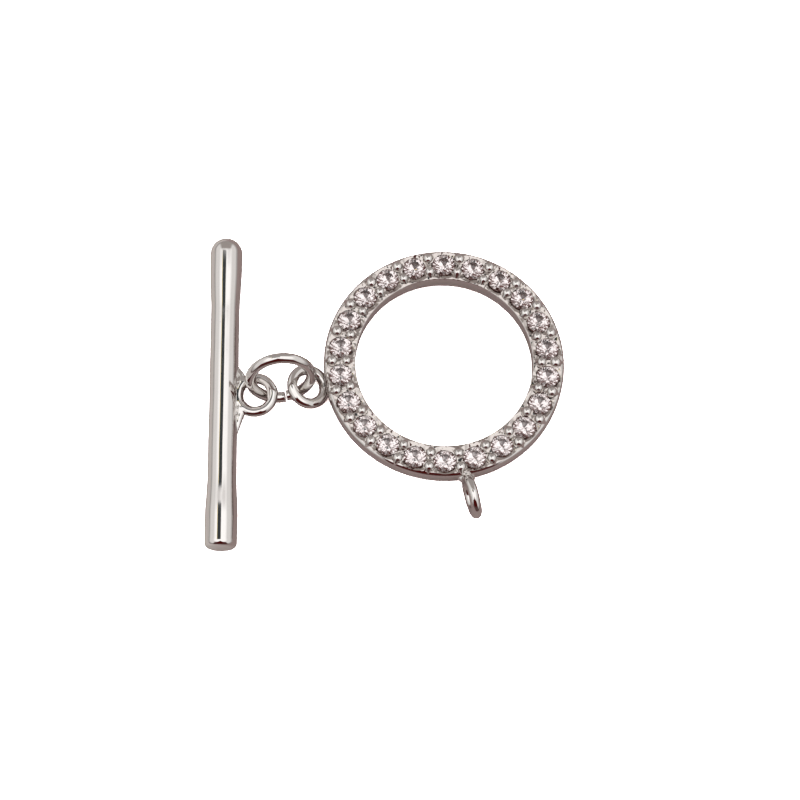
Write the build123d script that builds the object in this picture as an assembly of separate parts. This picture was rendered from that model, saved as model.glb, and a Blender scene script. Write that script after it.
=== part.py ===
from build123d import *
from math import asin, atan2, cos, degrees, dist, pi, radians, sin
import os

# Toggle clasp for a bracelet or necklace, lying on a table, in millimetres.
# A ring set with clear stones lies on the right and a smooth bar on the left.
# Two wire rings link the ring to the loop that is soldered to the bar, and the
# ring has a loop of its own for the strand. +Z is up, +Y points away from the
# eye, and the origin is on the table, under the middle of all that lies there.

# Stone-set ring, a casting
ring_outer_diameter = 18.0
ring_thickness = 1.6
side_wall = 0.36
outer_rim_width = 0.32
bore_rim_width = 0.15
channel_depth = 0.25
shoulder_rounding = 0.3
bore_rounding = 0.12
back_rounding = 0.3

# Stones, round brilliants
stone_count = 22
stone_diameter = 1.66
table_diameter = 0.94
crown_height = 0.25
girdle_height = 0.05
pavilion_depth = 0.71
star_reach = 0.5
lower_reach = 0.77
girdle_drop = 0.02
stone_clearance = 0.05
stone_turn_step = 19.0

# Beads of metal, in pairs between the stones
bead_clearance = 0.035
bead_height = 0.36
bead_spacing = 1.06
bead_root_width = 0.42
bead_root_drop = 0.05

# Wire, and the holes of the rings and loops that are made of it
wire_diameter = 0.8
lug_hole_diameter = 1.8
bar_loop_hole_diameter = 1.8
end_ring_hole_diameter = 1.84
jump_ring_hole_diameter = 3.74

# Loop soldered to the stone-set ring
lug_angle = 281.0
lug_skew = 4.5
lug_bite = 0.22
lug_collar_diameter = 1.24
lug_collar_length = 0.25

# Toggle bar and the loop soldered near its middle
bar_length = 24.2
bar_end_diameter = 2.43
bar_waist_depth = 0.13
bar_shoulder_length = 2.4
bar_taper_length = 3.4
bar_tip_rounding = 0.45
bar_loop_bite = 0.4
bar_loop_offset = 0.36
solder_length = 2.15
solder_root_diameter = 0.3
solder_tip_diameter = 0.72
solder_angle = 55.0

# Open jump ring that stands on the table and leans back
jump_ring_lean = 68.7
jump_ring_turn = 6.5
jump_ring_cut = 0.12
jump_ring_cut_angle = 5.5
jump_ring_spring = 0.1

# How the chain and the stone-set ring lie; a rise is in wire thicknesses
link_clearance = 0.08
rest_clearance = 0.05
bar_loop_rise = 1.585
bar_loop_slide_bearing = 256.0
end_ring_rise = 1.31
end_ring_turn = 5.5
end_ring_slide_bearing = 27.5
end_ring_bearing = 188.8
ring_overlap_width = 0.35

# Sizes that follow from these
ring_radius = ring_outer_diameter / 2
band_width = stone_diameter + 2 * side_wall
bore_radius = ring_radius - band_width
stone_circle_radius = ring_radius - band_width / 2
stone_pitch = 360 / stone_count
channel_floor = ring_thickness - channel_depth
girdle_level = ring_thickness - girdle_drop - girdle_height
wire_radius = wire_diameter / 2
wire_step = wire_diameter + link_clearance
lug_radius = (lug_hole_diameter + wire_diameter) / 2
bar_loop_radius = (bar_loop_hole_diameter + wire_diameter) / 2
end_ring_radius = (end_ring_hole_diameter + wire_diameter) / 2
jump_ring_radius = (jump_ring_hole_diameter + wire_diameter) / 2
lug_distance = ring_radius + lug_radius + wire_radius - lug_bite
bar_waist_radius = bar_end_diameter / 2 - bar_waist_depth
bar_loop_distance = bar_waist_radius + bar_loop_radius + wire_radius - bar_loop_bite


def polar(radius, angle, height=0.0):
    """The point at this distance and angle in degrees round the Z axis."""
    return Vector(radius * cos(radians(angle)), radius * sin(radians(angle)), height)


def taper(start, start_radius, end, end_radius):
    """A cone frustum between two points."""
    way = end - start
    cone = Cone(start_radius, end_radius, way.length)
    return Plane((start + end) / 2, z_dir=way) * cone


# Stone

def brilliant():
    """A stone with its table up and the lower edge of its girdle at Z 0."""
    radius = stone_diameter / 2
    main_step = 360 / 8
    half_step = main_step / 2
    shrink = cos(radians(half_step))
    crown_slope = crown_height / (radius - table_diameter / 2)
    pavilion_slope = pavilion_depth / radius

    # The main facets meet in ridges, and the small facets end on those ridges
    table_edge = table_diameter / 2 * shrink
    star_tip = table_edge + star_reach * (radius - table_edge)
    star_level = girdle_height + (radius - star_tip * shrink) * crown_slope
    lower_tip = radius * (1 - lower_reach)
    lower_level = -(radius - lower_tip * shrink) * pavilion_slope

    table = [polar(table_diameter / 2, main_step * k, girdle_height + crown_height) for k in range(8)]
    stars = [polar(star_tip, main_step * k + half_step, star_level) for k in range(8)]
    upper = [polar(radius, half_step * k, girdle_height) for k in range(16)]
    lower = [polar(radius, half_step * k) for k in range(16)]
    tips = [polar(lower_tip, main_step * k + half_step, lower_level) for k in range(8)]
    culet = Vector(0, 0, -pavilion_depth)

    facets = [table]
    for k in range(8):
        following = (k + 1) % 8
        facets.append([table[k], table[following], stars[k]])
        facets.append([table[k], stars[k], upper[2 * k], stars[k - 1]])
        facets.append([culet, tips[k], lower[2 * k], tips[k - 1]])
        for j in (2 * k, 2 * k + 1):
            beside = (j + 1) % 16
            facets.append([stars[k], upper[j], upper[beside]])
            facets.append([upper[j], upper[beside], lower[beside], lower[j]])
            facets.append([tips[k], lower[j], lower[beside]])
    return Solid(Shell([Face(Wire.make_polygon(corners)) for corners in facets]))


def stone_places():
    """Where the stones stand on the ring, each turned a little further."""
    places = []
    for k in range(stone_count):
        angle = 90 - k * stone_pitch
        turn = angle + k * stone_turn_step
        places.append(Pos(polar(stone_circle_radius, angle, girdle_level)) * Rot(Z=turn))
    return places


# Stone-set ring

def ring_body():
    """The plain ring, with a channel for the stones between two narrow rims."""
    top = ring_thickness
    foot = stone_diameter / 2
    middle = stone_circle_radius
    points = [(bore_radius, 0), (ring_radius, 0), (ring_radius, top), (ring_radius - outer_rim_width, top),
              (middle + foot, channel_floor), (middle - foot, channel_floor),
              (bore_radius + bore_rim_width, top), (bore_radius, top)]
    section = make_face(Polyline(points, close=True))
    for x, y, rounding in ((bore_radius, 0, back_rounding), (ring_radius, 0, back_rounding),
                           (bore_radius, top, bore_rounding), (ring_radius, top, shoulder_rounding)):
        corner = section.vertices().sort_by_distance((x, y, 0))[0]
        section = fillet(corner, rounding)
    return revolve(Plane.XZ * section, Axis.Z)


def beads():
    """Pairs of domed posts between the stones, each rooted in the rim beside it."""
    solids = []
    reach = bead_spacing / 2
    half_pitch = radians(stone_pitch / 2)
    base = channel_floor - channel_depth
    for side in (-1, 1):
        place = stone_circle_radius + side * reach
        offset = (place * cos(half_pitch) - stone_circle_radius, place * sin(half_pitch))
        radius = dist((0, 0), offset) - stone_diameter / 2 - bead_clearance
        radius = min(radius, bead_spacing / 2 - bead_clearance)
        tip = ring_thickness + bead_height
        post = Pos(0, 0, (base + tip - radius) / 2) * Cylinder(radius, tip - radius - base)
        bead = post + Pos(0, 0, tip - radius) * Sphere(radius)
        edge = ring_radius - outer_rim_width if side > 0 else bore_radius + bore_rim_width
        root_height = ring_thickness - bead_root_drop - base
        root = Pos((edge - place) / 2, 0, base + root_height / 2) * Box(
            abs(edge - place), bead_root_width, root_height)
        for k in range(stone_count):
            angle = 90 - (k + 0.5) * stone_pitch
            solids.append(Pos(polar(place, angle)) * Rot(Z=angle) * (bead + root))
    return solids


def seat():
    """The space that a stone needs, from under its point to above the beads."""
    radius = stone_diameter / 2 + stone_clearance
    depth = pavilion_depth * radius / (stone_diameter / 2) + stone_clearance
    above = ring_thickness + 2 * bead_height - girdle_level
    points = [(0, -depth), (radius, 0), (radius, above), (0, above)]
    return revolve(Plane.XZ * make_face(Polyline(points, close=True)), Axis.Z)


def lug():
    """The ring's soldered loop, upright to the ring, with a collar of solder."""
    middle = ring_thickness / 2
    outward = polar(1, lug_angle + lug_skew)
    centre = polar(lug_distance, lug_angle, middle)
    loop = Plane(centre, x_dir=outward, z_dir=outward.cross(Vector(0, 0, 1))) * Torus(lug_radius, wire_radius)
    wall = centre - outward * (lug_distance - ring_radius)
    collar = taper(wall - outward * lug_bite, lug_collar_diameter / 2,
                   wall + outward * lug_collar_length, wire_radius)
    return loop + collar


def stone_set_ring():
    casting = ring_body() + lug() + beads()
    return casting - [place * seat() for place in stone_places()]


# Toggle bar, along Y, with its loop on the +X side

def toggle_bar():
    near_end = -bar_length / 2 + bar_loop_offset
    far_end = near_end + bar_length
    radius = bar_end_diameter / 2
    waist_inset = bar_shoulder_length + bar_taper_length
    dome_base = far_end - radius
    side = Polyline((0, far_end), (0, near_end), (radius, near_end),
                    (radius, near_end + bar_shoulder_length), (bar_waist_radius, near_end + waist_inset),
                    (bar_waist_radius, far_end - waist_inset), (radius, far_end - bar_shoulder_length),
                    (radius, dome_base))
    section = make_face(side + CenterArc((0, dome_base), radius, 0, 90))
    section = fillet(section.vertices().sort_by_distance((radius, near_end, 0))[0], bar_tip_rounding)

    # Turned so that the seam of the surface is on the side away from the loop
    bar = Rot(Y=180) * revolve(section, Axis.Y)

    loop = Pos(bar_loop_distance, 0, 0) * Torus(bar_loop_radius, wire_radius)
    grip = radians(solder_angle)
    root_x = bar_waist_radius - solder_root_diameter / 2
    wire_x = bar_loop_distance - bar_loop_radius * cos(grip)
    wire_y = bar_loop_radius * sin(grip)
    solder = [taper(Vector(root_x, side * solder_length, 0), solder_root_diameter / 2,
                    Vector(wire_x, side * wire_y, 0), solder_tip_diameter / 2) for side in (-1, 1)]
    return bar + loop + solder


# Wire rings

def jump_ring():
    """An open ring in the XY plane, its ends near the bottom and sprung apart."""
    top = Vector(0, jump_ring_radius, 0)
    sweep_angle = 180 - degrees(asin(jump_ring_cut / 2 / jump_ring_radius))
    swing = degrees(asin(jump_ring_spring / 4 / jump_ring_radius))
    section = Plane(top, x_dir=(0, 1, 0), z_dir=(1, 0, 0)) * Circle(wire_radius)
    halves = []
    for side in (-1, 1):
        half = revolve(section, Axis((0, 0, 0), (0, 0, side)), sweep_angle)
        halves.append(half.rotate(Axis(top, (1, 0, 0)), -side * swing))
    return Rot(Z=jump_ring_cut_angle) * (halves[0] + halves[1])


# How the pieces lie: the chain first, about the foot of the jump ring

line_points = 72
edge_points = 360


def centre_line(plane, radius, count=line_points):
    """Points along the middle of the wire of a round link."""
    turns = [2 * pi * k / count for k in range(count)]
    return [tuple(plane.from_local_coords((radius * cos(t), radius * sin(t), 0))) for t in turns]


def nearest(line, other):
    return min(dist(a, b) for a in line for b in other)


def furthest_clear(gap_at, wanted, limit):
    """The longest step, up to a limit, that still leaves the wanted gap."""
    if gap_at(limit) >= wanted:
        return limit
    near_side = max((limit * k / 8 for k in range(-8, 8)), key=gap_at)
    far_side = limit
    for _ in range(14):
        step = (near_side + far_side) / 2
        if gap_at(step) >= wanted:
            near_side = step
        else:
            far_side = step
    return near_side


def lean_on_jump_ring(plane, radius, way, limit):
    """The plane moved along a way until its wire nearly touches the jump ring's."""
    def moved(step):
        return Plane(plane.origin + way * step, x_dir=plane.x_dir, z_dir=plane.z_dir)

    def gap_at(step):
        return nearest(jump_line, centre_line(moved(step), radius))

    return moved(furthest_clear(gap_at, wire_step, limit))


lean = radians(jump_ring_lean)
jump_x = polar(1, jump_ring_turn)
jump_up = polar(cos(lean), jump_ring_turn + 90, sin(lean))
jump_height = wire_radius + jump_ring_radius * sin(lean) + jump_ring_spring / 2 * cos(lean)
jump_plane = Plane((0, 0, jump_height), x_dir=jump_x, z_dir=jump_x.cross(jump_up))
jump_line = centre_line(jump_plane, jump_ring_radius)


def jump_ring_at(height, side):
    """Where the middle of the jump ring's wire passes a height, left or right."""
    rise = asin((height - jump_height) / (jump_ring_radius * sin(lean)))
    return jump_plane.from_local_coords((side * jump_ring_radius * cos(rise), jump_ring_radius * sin(rise), 0))


# The bar lies on its two ends, rolled until its loop lies over the jump ring
bar_axis_height = bar_end_diameter / 2
bar_loop_height = bar_loop_rise * wire_step
roll = asin((bar_loop_height - bar_axis_height) / bar_loop_distance)
bar_loop_x = Vector(cos(roll), 0, sin(roll))
bar_loop_plane = lean_on_jump_ring(
    Plane(jump_ring_at(bar_loop_height, -1), x_dir=bar_loop_x, z_dir=bar_loop_x.cross(Vector(0, 1, 0))),
    bar_loop_radius, polar(1, bar_loop_slide_bearing), bar_loop_hole_diameter / 2)
bar_plane = Plane(bar_loop_plane.origin - bar_loop_x * bar_loop_distance,
                  x_dir=bar_loop_x, z_dir=bar_loop_plane.z_dir)

# The end ring lies on the table on one side and on the jump ring on the other
end_ring_lift = end_ring_rise * wire_step
pitch = asin(end_ring_lift / 2 / end_ring_radius)
end_ring_x = polar(cos(pitch), end_ring_turn + 180, sin(pitch))
end_ring_y = polar(1, end_ring_turn - 90)
end_ring_plane = lean_on_jump_ring(
    Plane(jump_ring_at(wire_radius + end_ring_lift / 2, 1), x_dir=end_ring_x,
          z_dir=end_ring_x.cross(end_ring_y)),
    end_ring_radius, polar(1, end_ring_slide_bearing), end_ring_hole_diameter / 2)
end_ring_line = centre_line(end_ring_plane, end_ring_radius)

# The stone-set ring lies on the end ring's low side, on its own loop's lowest
# point, and on the part of its back edge that lies across from those two
foot_radius = ring_radius - back_rounding
end_ring_reach = end_ring_radius * cos(pitch) + wire_radius
ring_middle = end_ring_plane.origin - polar(ring_radius + end_ring_reach - ring_overlap_width, end_ring_bearing)


def ring_plane(height_on_end_ring):
    """The plane of the ring's back for a height where it lies on the end ring."""
    spot_on_link = polar(foot_radius, end_ring_bearing, height_on_end_ring)
    spot_at_lug = polar(lug_distance, lug_angle, lug_radius + wire_radius - ring_thickness / 2)
    low_angle = (end_ring_bearing + lug_angle) / 2 - 180
    for _ in range(4):
        low_spot = polar(foot_radius, low_angle)
        up = (spot_at_lug - spot_on_link).cross(low_spot - spot_on_link).normalized()
        low_angle = degrees(atan2(up.Y, up.X))
    height = up.dot(low_spot) / up.Z
    return Plane((ring_middle.X, ring_middle.Y, height), x_dir=(up.Z, 0, -up.X), z_dir=up)


def room_over_end_ring(height):
    plane = ring_plane(height)
    edge = Plane(plane.origin + plane.z_dir * back_rounding, x_dir=plane.x_dir, z_dir=plane.z_dir)
    return nearest(end_ring_line, centre_line(edge, foot_radius, edge_points))


high_enough = 3 * wire_diameter
drop = furthest_clear(lambda step: room_over_end_ring(high_enough - step),
                      wire_radius + back_rounding + rest_clearance, high_enough)
set_ring_plane = ring_plane(high_enough - drop)

# All pieces, then moved so that the origin is under their middle
stone = brilliant()
pieces = {
    "stone_set_ring": set_ring_plane.location * stone_set_ring(),
    "toggle_bar": bar_plane.location * toggle_bar(),
    "jump_ring": jump_plane.location * jump_ring(),
    "end_ring": end_ring_plane.location * Torus(end_ring_radius, wire_radius),
}
for number, place in enumerate(stone_places(), 1):
    pieces[f"stone_{number:02d}"] = set_ring_plane.location * place * stone

box = Compound(children=[Solid(piece.wrapped) for piece in pieces.values()]).bounding_box()
shift = Pos(-box.center().X, -box.center().Y, -box.min.Z)
os.makedirs("parts", exist_ok=True)
for name, piece in pieces.items():
    export_step(shift * piece, f"parts/{name}.step")
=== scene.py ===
# %% [markdown]
# # A toggle clasp set with clear stones
#
# The clasp lies on a table: a ring set with 22 stones, a smooth bar, and two
# wire rings that link them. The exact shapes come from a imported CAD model, the
# frame. This lesson gives each metal piece the finer shape of a casting or a
# bent wire, with the frame's own places and sizes, and then adds the finishes,
# the studio and the camera. The stones stay as the frame has them.

# %% Load the frame
from math import asin, cos, degrees, pi, radians, sin, tan
from random import Random

import bmesh
import bpy
from mathutils import Matrix, Vector, noise


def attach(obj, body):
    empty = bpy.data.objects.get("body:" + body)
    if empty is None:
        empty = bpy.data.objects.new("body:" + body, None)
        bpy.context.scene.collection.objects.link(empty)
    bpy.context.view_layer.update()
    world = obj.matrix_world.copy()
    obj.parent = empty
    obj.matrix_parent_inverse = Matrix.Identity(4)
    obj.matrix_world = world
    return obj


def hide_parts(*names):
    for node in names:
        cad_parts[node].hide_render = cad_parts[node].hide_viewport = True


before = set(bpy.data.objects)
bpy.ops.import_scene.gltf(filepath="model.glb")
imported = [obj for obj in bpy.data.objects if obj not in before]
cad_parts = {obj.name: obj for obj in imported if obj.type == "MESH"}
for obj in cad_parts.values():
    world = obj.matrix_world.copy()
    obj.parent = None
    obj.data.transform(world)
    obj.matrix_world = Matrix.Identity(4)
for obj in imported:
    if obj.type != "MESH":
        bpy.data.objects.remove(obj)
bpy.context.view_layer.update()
print("frame nodes:", len(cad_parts))

# %% [markdown]
# ## Sizes and places
#
# Every piece is modelled in millimetres about its own centre, because modifiers
# that join or remesh a shape lose accuracy on parts of a few hundredths of a
# millimetre in a scene measured in metres. A place is a matrix that turns the
# piece, moves it to where the frame has it, and brings it down to metres. The
# finished object itself stays at the origin, with its place in its mesh.

# %% Sizes in millimetres
MM = 0.001
RING_RADIUS = 9.0
BORE_RADIUS = 6.62
RING_THICKNESS = 1.6
STONE_COUNT = 22
STONE_CIRCLE = (RING_RADIUS + BORE_RADIUS) / 2
GIRDLE_LEVEL = 1.53
WIRE_RADIUS = 0.4
LOOP_HOLE = 1.8
LOOP_RADIUS = 1.3
UP = Vector((0, 0, 1))


def polar(radius, angle, height=0.0):
    """The point at this distance and angle in degrees round the Z axis."""
    return Vector((radius * cos(radians(angle)), radius * sin(radians(angle)), height))


def place_at(origin, x_axis, z_axis):
    """The matrix from a piece's own millimetres to its place in the scene."""
    x_axis, z_axis = Vector(x_axis).normalized(), Vector(z_axis).normalized()
    turn = Matrix((x_axis, z_axis.cross(x_axis), z_axis)).transposed().to_4x4()
    return Matrix.Scale(MM, 4) @ Matrix.Translation(origin) @ turn


# %% Places of the four metal pieces
ring_middle = Vector((4.3033, 1.994, 0.4738))
ring_up = Vector((0.02744, 0.046806, 0.998527))
ring_place = place_at(ring_middle, (ring_up.z, 0, -ring_up.x), ring_up)

bar_roll = radians(4.513)
bar_place = place_at((-12.1207, -0.36, 1.216), (cos(bar_roll), 0, sin(bar_roll)),
                     (-sin(bar_roll), 0, cos(bar_roll)))

jump_lean, jump_turn = radians(68.7), 6.5
jump_x = polar(1, jump_turn)
jump_up = polar(cos(jump_lean), jump_turn + 90, sin(jump_lean))
jump_place = place_at((-7.8036, 0.6515, 2.5342), jump_x, jump_x.cross(jump_up))

end_pitch, end_turn = radians(25.89), 5.5
end_x = polar(cos(end_pitch), end_turn + 180, sin(end_pitch))
end_y = polar(1, end_turn - 90)
end_place = place_at((-5.8137, 0.4278, 0.9775), end_x, end_x.cross(end_y))
print("tilt of the stone-set ring:", round(degrees(ring_up.angle(UP)), 2), "degrees")

# %% [markdown]
# ## Tools for joining and finishing
#
# Solder, seats and bright cuts are easiest to make as they are at the bench:
# one shape is added to or taken from another. The Boolean modifier does that
# cleanly with its manifold solver, as long as each shape is closed. A voxel
# remesh with some smoothing fills the corner between two joined shapes, as
# solder does when it flows.

# %% Joining and cutting


def scratch_object(bm):
    """A temporary object that holds the mesh."""
    mesh = bpy.data.meshes.new("scratch")
    bm.to_mesh(mesh)
    bm.free()
    obj = bpy.data.objects.new("scratch", mesh)
    bpy.context.scene.collection.objects.link(obj)
    return obj


def with_modifiers(obj, *others):
    """The object's mesh after its modifiers; the temporary objects go."""
    bpy.context.view_layer.update()
    result = bmesh.new()
    result.from_object(obj, bpy.context.evaluated_depsgraph_get())
    for used in (obj, *others):
        bpy.data.meshes.remove(used.data)
    return result


def combine(body, tool, operation):
    """The union of two closed shapes, or the body without the tool."""
    obj, other = scratch_object(body), scratch_object(tool)
    boolean = obj.modifiers.new("boolean", "BOOLEAN")
    boolean.operation = operation
    boolean.solver = "MANIFOLD"
    boolean.object = other
    return with_modifiers(obj, other)


def add_to(bm, part, matrix=Matrix.Identity(4)):
    """Copies part into bm at this place, without joining the two."""
    mesh = bpy.data.meshes.new("part")
    part.to_mesh(mesh)
    mesh.transform(matrix)
    bm.from_mesh(mesh)
    bpy.data.meshes.remove(mesh)


# %% Melting and polishing


def melt(bm, voxel, passes):
    """The shape remeshed and smoothed, so that its inner corners fill like solder."""
    obj = scratch_object(bm)
    remesh = obj.modifiers.new("remesh", "REMESH")
    remesh.mode = "VOXEL"
    remesh.voxel_size = voxel
    smooth = obj.modifiers.new("smooth", "SMOOTH")
    smooth.factor = 0.5
    smooth.iterations = passes
    return with_modifiers(obj)


def polish_by_hand(bm, depth, length):
    """Moves the surface in and out by a slow noise, as a polishing wheel leaves it."""
    bm.normal_update()
    for v in bm.verts:
        v.co += v.normal * depth * noise.noise(v.co / length)


# %% Putting a finished piece in place


def finish_piece(bm, name, place, material, node, sharp_angle=32):
    """Puts a finished mesh in the scene in place of its CAD node."""
    bm.transform(place)
    mesh = bpy.data.meshes.new(name)
    bm.to_mesh(mesh)
    bm.free()
    mesh.shade_smooth()
    mesh.set_sharp_from_angle(angle=radians(sharp_angle))
    mesh.materials.append(material)
    obj = bpy.data.objects.new(name, mesh)
    bpy.context.scene.collection.objects.link(obj)
    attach(obj, "root")
    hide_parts(node)
    mesh.calc_loop_triangles()
    print(name, "triangles:", len(mesh.loop_triangles))
    return obj


# %% [markdown]
# ## Finishes
#
# Colours are written as sRGB hex values, as a colour picker shows them, and one
# function turns them into the linear values that shaders expect. A second small
# function adds a node with its settings and links. A Mix node keeps its factor
# in socket 0 and, for colours, its two inputs in sockets 6 and 7.

# %% Colours, nodes and materials


def linear(code):
    """An sRGB hex colour as linear red, green, blue and alpha."""
    parts = [int(code[k:k + 2], 16) / 255 for k in (1, 3, 5)]
    return (*[c / 12.92 if c <= 0.04045 else ((c + 0.055) / 1.055) ** 2.4 for c in parts], 1.0)


def add_node(tree, kind, inputs=None, **settings):
    """A new node; inputs maps a socket to a value or to another node's output."""
    node = tree.nodes.new("ShaderNode" + kind)
    for name, value in settings.items():
        setattr(node, name, value)
    for socket, value in (inputs or {}).items():
        if isinstance(value, bpy.types.NodeSocket):
            tree.links.new(value, node.inputs[socket])
        else:
            node.inputs[socket].default_value = value
    return node


def new_material(name):
    """An empty node material and its tree."""
    material = bpy.data.materials.new(name)
    material.use_nodes = True
    material.node_tree.nodes.clear()
    return material, material.node_tree


# %% [markdown]
# ### Rhodium over polished brass
#
# The metal is cast brass, polished by hand and plated with rhodium, which is a
# cool, slightly grey white. Hand polishing leaves a faint waviness a millimetre
# or two long, and plating leaves a few fine pits and a little haze. All are far
# too small to model, so bump and roughness do them, with sizes in millimetres.
#
# Between the stones the metal is cut with a graver, and each cut leaves a small
# flat that catches the light on its own. Real cuts are a tenth or two of a
# millimetre wide. They are drawn 0.42 mm wide, because finer ones don't show.
# The cut faces also have a darker, warmer colour than the rest of the plating,
# a painted shade on these flats, which face the bright top of the tent.

# %% Rhodium plating
WAVE_LENGTH, WAVE_HEIGHT = 1.6, 0.0012
PIT_SPACING, PIT_SIZE, PIT_DEPTH = 0.7, 0.09, 0.004
HAZE_LENGTH, POLISHED, HAZY = 0.9, 0.05, 0.11
CUT_WIDTH = 0.42


def rhodium(name, colour, cut_height):
    """Polished plating; with a cut height of 0 it bears no marks of a graver."""
    material, tree = new_material(name)
    where = add_node(tree, "TexCoord").outputs["Object"]
    waves = add_node(tree, "TexNoise", {
        "Vector": where, "Scale": 1 / (WAVE_LENGTH * MM), "Detail": 1.0, "Roughness": 0.4})
    pits = add_node(tree, "TexVoronoi", {"Vector": where, "Scale": 1 / (PIT_SPACING * MM)})
    pit_shape = add_node(tree, "MapRange", {
        "Value": pits.outputs["Distance"], "From Min": 0.0, "From Max": PIT_SIZE})
    cuts = add_node(tree, "TexVoronoi", {"Vector": where, "Scale": 1 / (CUT_WIDTH * MM)})
    haze = add_node(tree, "TexNoise", {
        "Vector": where, "Scale": 1 / (HAZE_LENGTH * MM), "Detail": 3.0})
    roughness = add_node(tree, "MapRange", {
        "Value": haze.outputs["Fac"], "From Min": 0.35, "From Max": 0.75,
        "To Min": POLISHED, "To Max": HAZY})
    wavy = add_node(tree, "Bump", {
        "Height": waves.outputs["Fac"], "Distance": WAVE_HEIGHT * MM})
    pitted = add_node(tree, "Bump", {
        "Height": pit_shape.outputs["Result"], "Distance": PIT_DEPTH * MM,
        "Normal": wavy.outputs["Normal"]})
    graved = add_node(tree, "Bump", {
        "Height": cuts.outputs["Distance"], "Distance": cut_height * MM,
        "Normal": pitted.outputs["Normal"]})
    surface = add_node(tree, "BsdfPrincipled", {
        "Base Color": linear(colour), "Metallic": 1.0,
        "Roughness": roughness.outputs["Result"], "Normal": graved.outputs["Normal"]})
    add_node(tree, "OutputMaterial", {"Surface": surface.outputs["BSDF"]})
    return material


rhodium_plating = rhodium("rhodium plated brass", "#dcd8d5", 0.0)
# The darker, warmer colour of the cut faces is painted shade.
rhodium_graved_and_shaded = rhodium("rhodium plated brass, cut with a graver, painted shade", "#c9c1bc", 0.08)
print("finishes:", rhodium_plating.name, "/", rhodium_graved_and_shaded.name)

# %% [markdown]
# ### Cubic zirconia
#
# The stones are cubic zirconia, cut like diamonds and polished glass-smooth, so
# all their sparkle comes from the facets. The real index of refraction is 2.16,
# with which a stone throws back nearly all the light that comes from above. An
# index of 1.8 lets more of the dark seat, with its painted shade, show through,
# which gives the mix of white, grey and brown that these small stones have.

# %% Cubic zirconia
ZIRCONIA_INDEX = 1.8

cubic_zirconia, tree = new_material("cubic zirconia")
surface = add_node(tree, "BsdfPrincipled", {
    "Base Color": linear("#f0e6e5"), "Roughness": 0.0, "IOR": ZIRCONIA_INDEX,
    "Transmission Weight": 1.0})
add_node(tree, "OutputMaterial", {"Surface": surface.outputs["BSDF"]})

for number in range(1, STONE_COUNT + 1):
    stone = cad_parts[f"stone_{number:02d}"]
    for slot in stone.material_slots:
        slot.material = cubic_zirconia
print("stones with their finish:", STONE_COUNT)

# %% [markdown]
# ## Wire rings and loops
#
# Rings of wire are bent round a rod. A torus would do for a closed ring, but an
# open one needs ends, so both are made in one way: a circle, the wire's section,
# is spun round the ring's axis. An open ring stops a little short of a full turn
# and gets two flat ends with rounded rims.

# %% A ring of wire
WIRE_SIDES = 36
WIRE_END_ROUNDING = 0.05


def wire_ring(hole, turn=360.0, steps=144):
    """A ring of wire about Z; an open ring has its gap at the bottom, towards -Y."""
    bm = bmesh.new()
    start = Matrix.Rotation(radians(-90 + (360 - turn) / 2), 4, "Z")
    upright = (Matrix.Translation((hole / 2 + WIRE_RADIUS, 0, 0))
               @ Matrix.Rotation(pi / 2, 4, "X"))
    bmesh.ops.create_circle(bm, segments=WIRE_SIDES, radius=WIRE_RADIUS,
                            matrix=start @ upright, cap_ends=False)
    closed = turn > 359.9
    bmesh.ops.spin(bm, geom=bm.verts[:] + bm.edges[:], cent=(0, 0, 0), axis=(0, 0, 1),
                   angle=radians(turn), steps=steps, use_merge=closed)
    if not closed:
        open_edges = [e for e in bm.edges if e.is_boundary]
        ends = bmesh.ops.holes_fill(bm, edges=open_edges)["faces"]
        rims = [e for face in ends for e in face.edges]
        bmesh.ops.bevel(bm, geom=rims, offset=WIRE_END_ROUNDING, offset_type="OFFSET",
                        affect="EDGES", segments=3, profile=0.5, material=-1)
    bmesh.ops.recalc_face_normals(bm, faces=bm.faces)
    return bm


# %% The end ring, which is closed
END_RING_HOLE, WIRE_POLISH, WIRE_WAVE = 1.84, 0.012, 1.3

end_ring = wire_ring(END_RING_HOLE)
polish_by_hand(end_ring, WIRE_POLISH, WIRE_WAVE)
finish_piece(end_ring, "end_ring_wire", end_place, rhodium_plating, "end_ring")

# %% [markdown]
# ### The jump ring
#
# The jump ring is open, so that it can be hooked into the other two. Pliers part
# its ends sideways and not outwards, which keeps it round. The same spring is
# given here by moving each vertex along the ring's axis, more towards the cut.

# %% The jump ring, with its ends sprung apart
jump_hole, jump_cut, jump_cut_angle, jump_spring = 3.74, 0.12, 5.5, 0.1
jump_radius = jump_hole / 2 + WIRE_RADIUS
jump_turned = 360 - 2 * degrees(asin(jump_cut / 2 / jump_radius))

jump_ring = wire_ring(jump_hole, turn=jump_turned, steps=200)
for v in jump_ring.verts:
    towards_cut = (1 - v.co.y / v.co.to_2d().length) / 2
    v.co.z -= (jump_spring / 2) * towards_cut * (1 if v.co.x > 0 else -1)
jump_ring.transform(Matrix.Rotation(radians(jump_cut_angle), 4, "Z"))
polish_by_hand(jump_ring, WIRE_POLISH, WIRE_WAVE)
finish_piece(jump_ring, "jump_ring_wire", jump_place, rhodium_plating,
             "jump_ring")

# %% [markdown]
# ## The toggle bar
#
# The bar is a cast rod, a little slimmer along its middle, domed at one end and
# flat with a rounded edge at the other. A cylinder could be shaped to this, but
# it is surer to draw half the outline with a few points, round its corner with a
# bevel, and spin it round the bar's axis. A slow noise then moves the surface by
# a hundredth of a millimetre, because a hand-polished rod is never quite
# straight, and the bands of light along it wander.

# %% Outline of the bar
BAR_LENGTH, BAR_RADIUS, BAR_WAIST = 24.2, 1.215, 1.085
BAR_SHOULDER, BAR_TAPER = 2.4, 3.4
BAR_CORNER = 0.45
LOOP_OFFSET = 0.36
NEAR_END = -BAR_LENGTH / 2 + LOOP_OFFSET
FAR_END = NEAR_END + BAR_LENGTH


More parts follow.
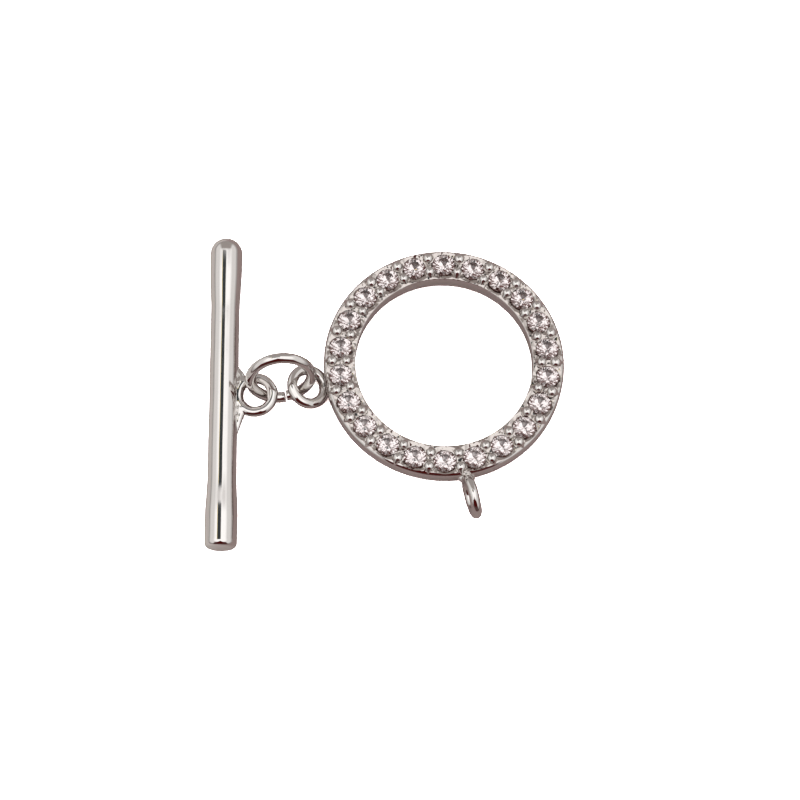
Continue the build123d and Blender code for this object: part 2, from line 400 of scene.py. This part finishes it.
def bar_body():
    """The bar along Y without its loop."""
    bm = bmesh.new()
    pole = bm.verts.new((0, FAR_END, 0))
    bmesh.ops.spin(bm, geom=[pole], cent=(0, FAR_END - BAR_RADIUS, 0), axis=(0, 0, -1),
                   angle=pi / 2, steps=20)
    dome_foot = max(bm.verts, key=lambda v: v.co.x)
    corner = bm.verts.new((BAR_RADIUS, NEAR_END, 0))
    bm.edges.new((dome_foot, corner))
    bm.edges.new((corner, bm.verts.new((0, NEAR_END, 0))))
    bmesh.ops.bevel(bm, geom=[corner], offset=BAR_CORNER, offset_type="OFFSET",
                    affect="VERTICES", segments=8, profile=0.5, material=-1)
    side = max(bm.edges, key=lambda e: e.calc_length())
    bmesh.ops.subdivide_edges(bm, edges=[side], cuts=180)
    for v in bm.verts:
        from_end = min(v.co.y - (NEAR_END + BAR_SHOULDER), FAR_END - BAR_SHOULDER - v.co.y)
        if from_end > 0 and v.co.x > BAR_WAIST:
            blend = min(from_end / BAR_TAPER, 1.0)
            v.co.x -= (BAR_RADIUS - BAR_WAIST) * blend * blend * (3 - 2 * blend)
    bmesh.ops.spin(bm, geom=bm.verts[:] + bm.edges[:], cent=(0, 0, 0), axis=(0, 1, 0),
                   angle=2 * pi, steps=96, use_merge=True)
    bmesh.ops.remove_doubles(bm, verts=bm.verts, dist=0.0005)
    bmesh.ops.recalc_face_normals(bm, faces=bm.faces)
    return bm


# %% [markdown]
# ### The loop soldered to the bar
#
# A loop of wire stands against the middle of the bar, and solder has run into
# the corners on both sides of it. A few tapered pins lie where the solder lies,
# and a core stands in for the bar while they are melted together, so that the
# solder also meets the bar in a soft line. The real bar takes the core's place.

# %% Solder round the loop
CORE_LENGTH, CORE_RADIUS = 7.2, BAR_WAIST - 0.04
LOOP_BITE = 0.4
# Each pin of solder: its start, its radius there, its end and its radius there
SOLDER_PINS = (
    ((0.9, 2.35, 0), 0.12, (1.3, 1.5, 0), 0.3),
    ((1.3, 1.7, 0), 0.22, (1.35, 1.0, 0), 0.42),
    ((0.9, -3.3, 0), 0.12, (1.25, -1.6, 0), 0.32),
    ((1.25, -1.75, 0), 0.26, (1.35, -1.0, 0), 0.42))


def taper(start, start_radius, end, end_radius, segments=24):
    """A closed cone frustum between two points."""
    bm = bmesh.new()
    start, end = Vector(start), Vector(end)
    way = end - start
    turn = way.to_track_quat("Z", "Y").to_matrix().to_4x4()
    bmesh.ops.create_cone(bm, cap_ends=True, segments=segments, radius1=start_radius,
                          radius2=end_radius, depth=way.length,
                          matrix=Matrix.Translation((start + end) / 2) @ turn)
    return bm


bar_loop = wire_ring(LOOP_HOLE)
bar_loop.transform(Matrix.Translation((BAR_WAIST + LOOP_RADIUS + WIRE_RADIUS - LOOP_BITE, 0, 0)))
solder = taper((0, -CORE_LENGTH / 2, 0), CORE_RADIUS, (0, CORE_LENGTH / 2, 0), CORE_RADIUS, 64)
solder = combine(solder, bar_loop, "UNION")
for pin in SOLDER_PINS:
    solder = combine(solder, taper(*pin), "UNION")
solder = melt(solder, voxel=0.05, passes=14)
polish_by_hand(solder, depth=0.03, length=0.7)
print("faces of the loop and its solder:", len(solder.faces))

# %% Bar, loop and solder in one piece
toggle_bar = bar_body()
polish_by_hand(toggle_bar, depth=0.016, length=2.1)
toggle_bar = combine(toggle_bar, solder, "UNION")
finish_piece(toggle_bar, "bar_with_loop", bar_place, rhodium_plating,
             "toggle_bar", sharp_angle=50)

# %% [markdown]
# ## The stone-set ring
#
# The ring is one casting. Its section is drawn with its corners rounded by a
# bevel, and spun. The inner edge of its top slopes down to the bore a little, so
# that it mirrors another part of the tent than the flat rim does.

# %% The plain ring
# Corners of the section: radius, height and rounding, from the foot of the bore
RING_SECTION = (
    (BORE_RADIUS, 0, 0.3), (RING_RADIUS, 0, 0.45), (RING_RADIUS, RING_THICKNESS, 0.4),
    (BORE_RADIUS + 0.24, RING_THICKNESS, 0.1), (BORE_RADIUS, RING_THICKNESS - 0.045, 0.08))


def ring_casting():
    """The ring without its seats, beads and loop."""
    bm = bmesh.new()
    corners = [bm.verts.new((x, 0, z)) for x, z, _ in RING_SECTION]
    for k, corner in enumerate(corners):
        bm.edges.new((corner, corners[(k + 1) % len(corners)]))
    for corner, (_, _, rounding) in zip(corners, RING_SECTION):
        bmesh.ops.bevel(bm, geom=[corner], offset=rounding, offset_type="OFFSET",
                        affect="VERTICES", segments=7, profile=0.5, material=-1)
    bmesh.ops.spin(bm, geom=bm.verts[:] + bm.edges[:], cent=(0, 0, 0), axis=(0, 0, 1),
                   angle=2 * pi, steps=15 * STONE_COUNT, use_merge=True)
    bmesh.ops.recalc_face_normals(bm, faces=bm.faces)
    return bm


# %% [markdown]
# ### Bright cuts, seats and beads
#
# Each stone sits in a round seat inside a bright cut, a polished cone round the
# stone. Where two cuts meet, a narrow field of metal is left, and on it stand
# two beads that hold the stones. A bead is metal pushed up with a hollow tool,
# which leaves a groove round it, and a small pit lies between the two.
#
# The cutting shapes are spun from outlines, copied round the ring, and all taken
# away in one Boolean. That keeps every corner crisp, and it is quicker and safer
# than one Boolean for each kind of cut.

# %% Cutting shapes


def spun(outline, steps):
    """A closed shape spun from radii and heights that start and end on the axis."""
    bm = bmesh.new()
    verts = [bm.verts.new((x, 0, z)) for x, z in outline]
    for vert, following in zip(verts, verts[1:]):
        bm.edges.new((vert, following))
    bmesh.ops.spin(bm, geom=bm.verts[:] + bm.edges[:], cent=(0, 0, 0), axis=(0, 0, 1),
                   angle=2 * pi, steps=steps, use_merge=True)
    bmesh.ops.remove_doubles(bm, verts=bm.verts, dist=0.0002)
    bmesh.ops.recalc_face_normals(bm, faces=bm.faces)
    return bm


# Heights of the first two are over the girdle, and of the others over the back
bright_cut = spun([(0, -0.05), (0.84, -0.07), (1.5, 0.16), (1.5, 0.4), (0, 0.4)], 72)
stone_space = spun([(0, -0.86), (0.84, 0), (0.845, 0.06), (0.49, 0.315), (0.49, 0.7),
                    (0, 0.7)], 72)
pit = spun([(0, 1.2), (0.1, 1.25), (0.19, 1.62), (0.19, 1.9), (0, 1.9)], 20)
groove = spun([(0, 1.45), (0.3, 1.45), (0.46, 1.62), (0.46, 1.9), (0, 1.9)], 28)
print("faces of a bright cut:", len(bright_cut.faces))

# %% A bead
BEAD_TIP, BEAD_FLATNESS = 1.98, 0.8
BEAD_FOOT, BEAD_FOOT_SHARE = 1.4, 0.9
BEAD_TAIL, BEAD_TAIL_RADIUS = 1.43, 0.17


def bead(radius, outward):
    """A domed bead with its metal drawn out towards the nearer rim."""
    bm = bmesh.new()
    dome = Matrix.LocRotScale((0, 0, BEAD_TIP - BEAD_FLATNESS * radius), None,
                              (1, 1, BEAD_FLATNESS))
    tail = Matrix.Translation((outward, 0, BEAD_TAIL))
    foot = Matrix.Translation((0, 0, BEAD_FOOT))
    bmesh.ops.create_uvsphere(bm, u_segments=28, v_segments=18, radius=radius, matrix=dome)
    bmesh.ops.create_uvsphere(bm, u_segments=16, v_segments=10, radius=BEAD_TAIL_RADIUS,
                              matrix=tail)
    bmesh.ops.create_uvsphere(bm, u_segments=16, v_segments=10,
                              radius=radius * BEAD_FOOT_SHARE, matrix=foot)
    # Only the points are kept, and a skin is stretched over them
    bmesh.ops.delete(bm, geom=bm.edges[:], context="EDGES_FACES")
    bmesh.ops.convex_hull(bm, input=bm.verts)
    bmesh.ops.delete(bm, geom=[v for v in bm.verts if not v.link_faces], context="VERTS")
    bmesh.ops.recalc_face_normals(bm, faces=bm.faces)
    return bm


# %% Cuts and beads round the ring
PITCH = 360 / STONE_COUNT
BEAD_SPACING, BEAD_REACH = 1.06, 0.4
INNER_BEAD, OUTER_BEAD = 0.34, 0.37
# Each bead stands a little off its place and is a little larger or smaller
ASTRAY, SUNK, RAISED, SMALLEST, LARGEST = 0.02, 0.02, 0.01, 0.95, 1.04

draw = Random(7)
cuts, grooves, beads, spaces, pits = (bmesh.new() for _ in range(5))
for k in range(STONE_COUNT):
    angle = 90 - k * PITCH
    between = angle - PITCH / 2
    at_stone = Matrix.Translation(polar(STONE_CIRCLE, angle, GIRDLE_LEVEL))
    add_to(cuts, bright_cut, at_stone)
    add_to(spaces, stone_space, at_stone)
    add_to(pits, pit, Matrix.Translation(polar(STONE_CIRCLE, between)))
    for side, radius in ((-1, INNER_BEAD), (1, OUTER_BEAD)):
        wander = Vector((draw.uniform(-ASTRAY, ASTRAY), draw.uniform(-ASTRAY, ASTRAY),
                         draw.uniform(-SUNK, RAISED)))
        spot = polar(STONE_CIRCLE + side * BEAD_SPACING / 2, between) + wander
        here = Matrix.Translation(spot) @ Matrix.Rotation(radians(between), 4, "Z")
        add_to(grooves, groove, here)
        add_to(beads, bead(radius * draw.uniform(SMALLEST, LARGEST), side * BEAD_REACH), here)

add_to(cuts, grooves)
add_to(cuts, pits)
setting = combine(ring_casting(), cuts, "DIFFERENCE")
setting = combine(setting, beads, "UNION")
setting = combine(setting, spaces, "DIFFERENCE")
polish_by_hand(setting, depth=0.006, length=1.5)
print("faces of the setting:", len(setting.faces))

# %% [markdown]
# ### Painted shade in the seats
#
# Each seat is lined in a dull brown: painted shade for the dark that lies under a
# stone. A clear stone shows this through its lower facets. The wall of the seat
# could have a finish of its own, but a thin cup in each seat is simpler, and it
# hides the bright plating in the same way.

# %% Linings of the seats
# The dull brown lining of the seats is painted shade under the stones.
seat_painted_shade, tree = new_material("painted shade in the seats")
surface = add_node(tree, "BsdfPrincipled", {
    "Base Color": linear("#7d5c55"), "Metallic": 0.0, "Roughness": 0.4})
add_node(tree, "OutputMaterial", {"Surface": surface.outputs["BSDF"]})

cup = spun([(0, -0.8), (0.82, -0.03), (0.84, -0.04), (0, -0.9)], 48)
cups = bmesh.new()
for k in range(STONE_COUNT):
    add_to(cups, cup, Matrix.Translation(polar(STONE_CIRCLE, 90 - k * PITCH, GIRDLE_LEVEL)))
finish_piece(cups, "seat_linings", ring_place, seat_painted_shade, "stone_set_ring")

# %% [markdown]
# ### The loop soldered to the ring
#
# A second loop of wire is soldered upright to the ring's wall, for the strand.
# Its lump of solder is uneven, so it is made of three short cones side by side,
# melted into each other and into the wire, and then joined to the ring.

# %% The ring's loop
LUG_ANGLE, LUG_SKEW, LUG_BITE = 281.0, 4.5, 0.22
LUG_DISTANCE = RING_RADIUS + LOOP_RADIUS + WIRE_RADIUS - LUG_BITE
# Each cone of solder: its shift along the wall, its lift and its radius there
LUG_FEET = ((0, 0, 0.7), (-0.3, 0.05, 0.62), (0.25, 0.1, 0.55))
FOOT_DEPTH, FOOT_REACH, FOOT_NARROWING = 0.35, 0.3, 0.45

outward = polar(1, LUG_ANGLE + LUG_SKEW)
aside = outward.cross(UP)
lug_middle = polar(LUG_DISTANCE, LUG_ANGLE, RING_THICKNESS / 2)
lug = wire_ring(LOOP_HOLE)
lug.transform(Matrix.Translation(lug_middle)
              @ Matrix((outward, UP, aside)).transposed().to_4x4())
wall = lug_middle - outward * (LUG_DISTANCE - RING_RADIUS)
for shift, lift, radius in LUG_FEET:
    foot = wall + aside * shift + Vector((0, 0, lift))
    cone = taper(foot - outward * FOOT_DEPTH, radius, foot + outward * FOOT_REACH,
                 radius * FOOT_NARROWING)
    lug = combine(lug, cone, "UNION")
lug = melt(lug, voxel=0.045, passes=16)
polish_by_hand(lug, depth=0.03, length=0.6)
setting = combine(setting, lug, "UNION")
print("faces with the loop:", len(setting.faces))

# %% [markdown]
# ### Where the graver has been
#
# The fields between the stones and the flat tops of the rims have the cut finish
# with its painted shade, and the walls and the domes of the beads the polished
# one. Painting a mask would need a UV map. The cut faces all lie in one narrow
# range of heights, inside the ring's rounded edges, so their middles tell them
# apart.

# %% Two finishes on one casting
GRAVED_LOW, GRAVED_HIGH = GIRDLE_LEVEL - 0.15, GIRDLE_LEVEL + 0.1
GRAVED_INSIDE, GRAVED_OUTSIDE = BORE_RADIUS + 0.05, RING_RADIUS - 0.2

for face in setting.faces:
    middle = face.calc_center_median()
    in_field = GRAVED_INSIDE < middle.to_2d().length < GRAVED_OUTSIDE
    face.material_index = 1 if in_field and GRAVED_LOW < middle.z < GRAVED_HIGH else 0
print("faces with the cut finish:", sum(face.material_index for face in setting.faces))
stone_setting = finish_piece(setting, "stone_setting", ring_place, rhodium_plating,
                             "stone_set_ring", sharp_angle=18)
stone_setting.data.materials.append(rhodium_graved_and_shaded)

# %% [markdown]
# ## Studio
#
# Polished metal shows little more than what surrounds it, so the surroundings
# are the real lighting. The camera sees the table and the tent as plain white.
#
# ### Table
#
# The clasp lies on pale paper. The metal's lower half mirrors it, and there it
# has a warm grey shade, with painted light that makes it lighter to the left,
# and dark brown towards the near edge, painted shade together with the end of
# the paper. The shades are placed by the table's coordinates, in metres.

# %% Table
bm = bmesh.new()
bmesh.ops.create_grid(bm, x_segments=1, y_segments=1, size=1.0)
mesh = bpy.data.meshes.new("table")
bm.to_mesh(mesh)
bm.free()
table = bpy.data.objects.new("table", mesh)
bpy.context.scene.collection.objects.link(table)

table_paper, tree = new_material("table paper")
across = add_node(tree, "SeparateXYZ", {"Vector": add_node(tree, "TexCoord").outputs["Object"]})
# Painted light: the paper seen in the metal is lighter to the left.
painted_light_to_left = add_node(tree, "MapRange", {
    "Value": across.outputs["X"], "From Min": -0.009, "From Max": -0.016})
# Painted shade, with the paper's end: dark brown towards the near edge.
near_edge_and_painted_shade = add_node(tree, "MapRange", {
    "Value": across.outputs["Y"], "From Min": -0.025, "From Max": -0.05})
shade = add_node(tree, "Mix", {
    0: painted_light_to_left.outputs["Result"], 6: linear("#b3a3a1"), 7: linear("#e6e2df")},
    data_type="RGBA")
shade = add_node(tree, "Mix", {
    0: near_edge_and_painted_shade.outputs["Result"], 6: shade.outputs[2], 7: linear("#53302a")},
    data_type="RGBA")
mirrored = add_node(tree, "BsdfDiffuse", {"Color": shade.outputs[2]})
white = add_node(tree, "BsdfDiffuse", {"Color": (8, 8, 8, 1)})
paper = add_node(tree, "MixShader", {
    0: add_node(tree, "LightPath").outputs["Is Camera Ray"],
    1: mirrored.outputs["BSDF"], 2: white.outputs["BSDF"]})
add_node(tree, "OutputMaterial", {"Surface": paper.outputs["Shader"]})
mesh.materials.append(table_paper)
print("table paper nodes:", len(tree.nodes))

# %% [markdown]
# ### Light tent
#
# Round the table stands a white tent, bright at the top and softer down its
# sides, with its far side in shade. Lamps and real cards could be set up round
# the clasp, but all of it is far away for a piece of three centimetres, so a
# world shader can hold it: each card is a range of directions with soft edges,
# laid over what is behind it.

# %% Directions and cards
world = bpy.data.worlds.new("light tent")
bpy.context.scene.world = world
world.use_nodes = True
tree = world.node_tree
tree.nodes.clear()
direction = add_node(tree, "TexCoord").outputs["Generated"]
parts = add_node(tree, "SeparateXYZ", {"Vector": direction})
x, y, z = (parts.outputs[axis] for axis in "XYZ")
sideways = add_node(tree, "Math", {0: x}, operation="ABSOLUTE").outputs["Value"]
height = add_node(tree, "Math", {0: z}, operation="ARCSINE").outputs["Value"]


def hang(behind, card, *edges):
    """The light with a card before it; each edge gives a value where the card is
    not seen yet and one where it is seen in full."""
    seen = 1.0
    for value, outside, inside in edges:
        edge = add_node(tree, "MapRange", {
            "Value": value, "From Min": outside, "From Max": inside},
            interpolation_type="SMOOTHSTEP")
        seen = add_node(tree, "Math", {0: seen, 1: edge.outputs["Result"]},
                        operation="MULTIPLY").outputs["Value"]
    return add_node(tree, "Mix", {0: seen, 6: behind, 7: card}, data_type="RGBA").outputs[2]


# %% Tent and far side
TENT_FOOT, TENT_SIDE, TENT_TOP = (0.42, 0.40, 0.39, 1), (0.9, 0.89, 0.88, 1), (1.4, 1.4, 1.4, 1)
FAR_SHADE = (0.42, 0.385, 0.37, 1)

light = hang(TENT_FOOT, TENT_SIDE, (height, radians(2), radians(20)))
light = hang(light, TENT_TOP, (height, radians(38), radians(56)))
light = hang(light, FAR_SHADE, (y, 0.25, 0.5), (sideways, 0.62, 0.42), (z, 0.955, 0.9))
print("light tent nodes:", len(tree.nodes))

# %% [markdown]
# A dark red cloth hangs on the near side. It narrows towards its top edge and is
# browner near the table. Faces that turn towards it mirror it: the near sides of
# the wires, the fronts of the beads and the rounded outer edge of the ring.

# %% Dark red cloth
CLOTH_TOP, CLOTH_SLOPE, CLOTH_HALF_WIDTH = 0.955, 1.4, 0.6
CLOTH_FOOT, CLOTH_RED = (0.12, 0.085, 0.08, 1), (0.075, 0.006, 0.005, 1)

below_top = add_node(tree, "Math", {0: CLOTH_TOP, 1: z}, operation="SUBTRACT")
sloped = add_node(tree, "Math", {0: below_top.outputs["Value"], 1: CLOTH_SLOPE},
                  operation="MULTIPLY")
half_width = add_node(tree, "Math", {0: sloped.outputs["Value"], 1: CLOTH_HALF_WIDTH},
                      operation="MINIMUM")
within = add_node(tree, "Math", {0: half_width.outputs["Value"], 1: sideways},
                  operation="SUBTRACT").outputs["Value"]
cloth = hang(CLOTH_FOOT, CLOTH_RED, (z, 0.04, 0.34))
light = hang(light, cloth, (within, -0.03, 0.03), (y, 0.0, -0.05))

# %% [markdown]
# Overhead, a slate-coloured card gives the dark line along the bar, and a strip
# of amber shows along its left edge. A straight rod mirrors one line across the
# tent, so a small card shows along its whole length. The cards' edges are X and
# Y parts of the direction to them.

# %% Cards overhead
AMBER, SLATE = (1.3, 1.1, 0.55, 1), (0.055, 0.062, 0.065, 1)

for card, left, right, near, far, soft in (
        (AMBER, -0.40, -0.30, 0.12, 0.34, 0.008), (SLATE, -0.36, 0.05, 0.10, 0.355, 0.012)):
    light = hang(light, card, (x, left - soft, left + soft), (x, right + soft, right - soft),
                 (y, near - soft, near + soft), (y, far + soft, far - soft), (z, 0.0, 0.1))
print("light tent nodes:", len(tree.nodes))

# %% [markdown]
# Light that leaves a stone is split over many directions, and a plain tent would
# turn nearly all of them white. So rays that come through a stone see the tent
# broken up by dark brown patches, which gives facets that are light and dark.

# %% What shows through the stones, and the white that the camera sees
PATCH_SCALE, PATCH_BROWN = 3.2, (0.16, 0.085, 0.075, 1)

ray = add_node(tree, "LightPath").outputs
patches = add_node(tree, "TexVoronoi", {"Vector": direction, "Scale": PATCH_SCALE})
patch = add_node(tree, "SeparateXYZ", {"Vector": patches.outputs["Color"]}).outputs["X"]
light = hang(light, PATCH_BROWN, (patch, 0.52, 0.48), (ray["Is Transmission Ray"], 0, 1))
light = hang(light, (1, 1, 1, 1), (ray["Is Camera Ray"], 0, 1))
background = add_node(tree, "Background", {"Color": light})
add_node(tree, "OutputWorld", {"Surface": background.outputs["Background"]})
print("light tent nodes:", len(tree.nodes))

# %% [markdown]
# ## Camera
#
# The clasp is seen nearly from above, with a narrow field of view, so its far
# parts are hardly smaller than its near ones. The Standard view transform shows
# white as white, and many bounces are allowed, because light turns over several
# times inside a stone before it leaves.

# %% Camera and light paths
VIEW_ANGLE, CAMERA_TILT, CAMERA_DISTANCE, SENSOR_WIDTH = 17.08, 16.95, 200, 36
AIM_LEFT, AIM_NEARER = 3.26, 2.31

target = Vector((ring_middle.x - AIM_LEFT, ring_middle.y - AIM_NEARER, 0))
back = Vector((0, -sin(radians(CAMERA_TILT)), cos(radians(CAMERA_TILT))))
camera_data = bpy.data.cameras.new("camera")
camera_data.sensor_width = SENSOR_WIDTH
camera_data.lens = SENSOR_WIDTH / 2 / tan(radians(VIEW_ANGLE / 2))
camera_data.clip_start = 0.01
camera = bpy.data.objects.new("camera", camera_data)
camera.location = (target + back * CAMERA_DISTANCE) * MM
camera.rotation_euler = (radians(CAMERA_TILT), 0, 0)

scene = bpy.context.scene
scene.collection.objects.link(camera)
scene.camera = camera
scene.view_settings.view_transform = "Standard"
scene.view_settings.look = "None"
scene.cycles.use_denoising = True
scene.cycles.transmission_bounces = 24
scene.cycles.glossy_bounces = 8
scene.cycles.max_bounces = 32
print("camera lens:", round(camera_data.lens, 1), "mm")
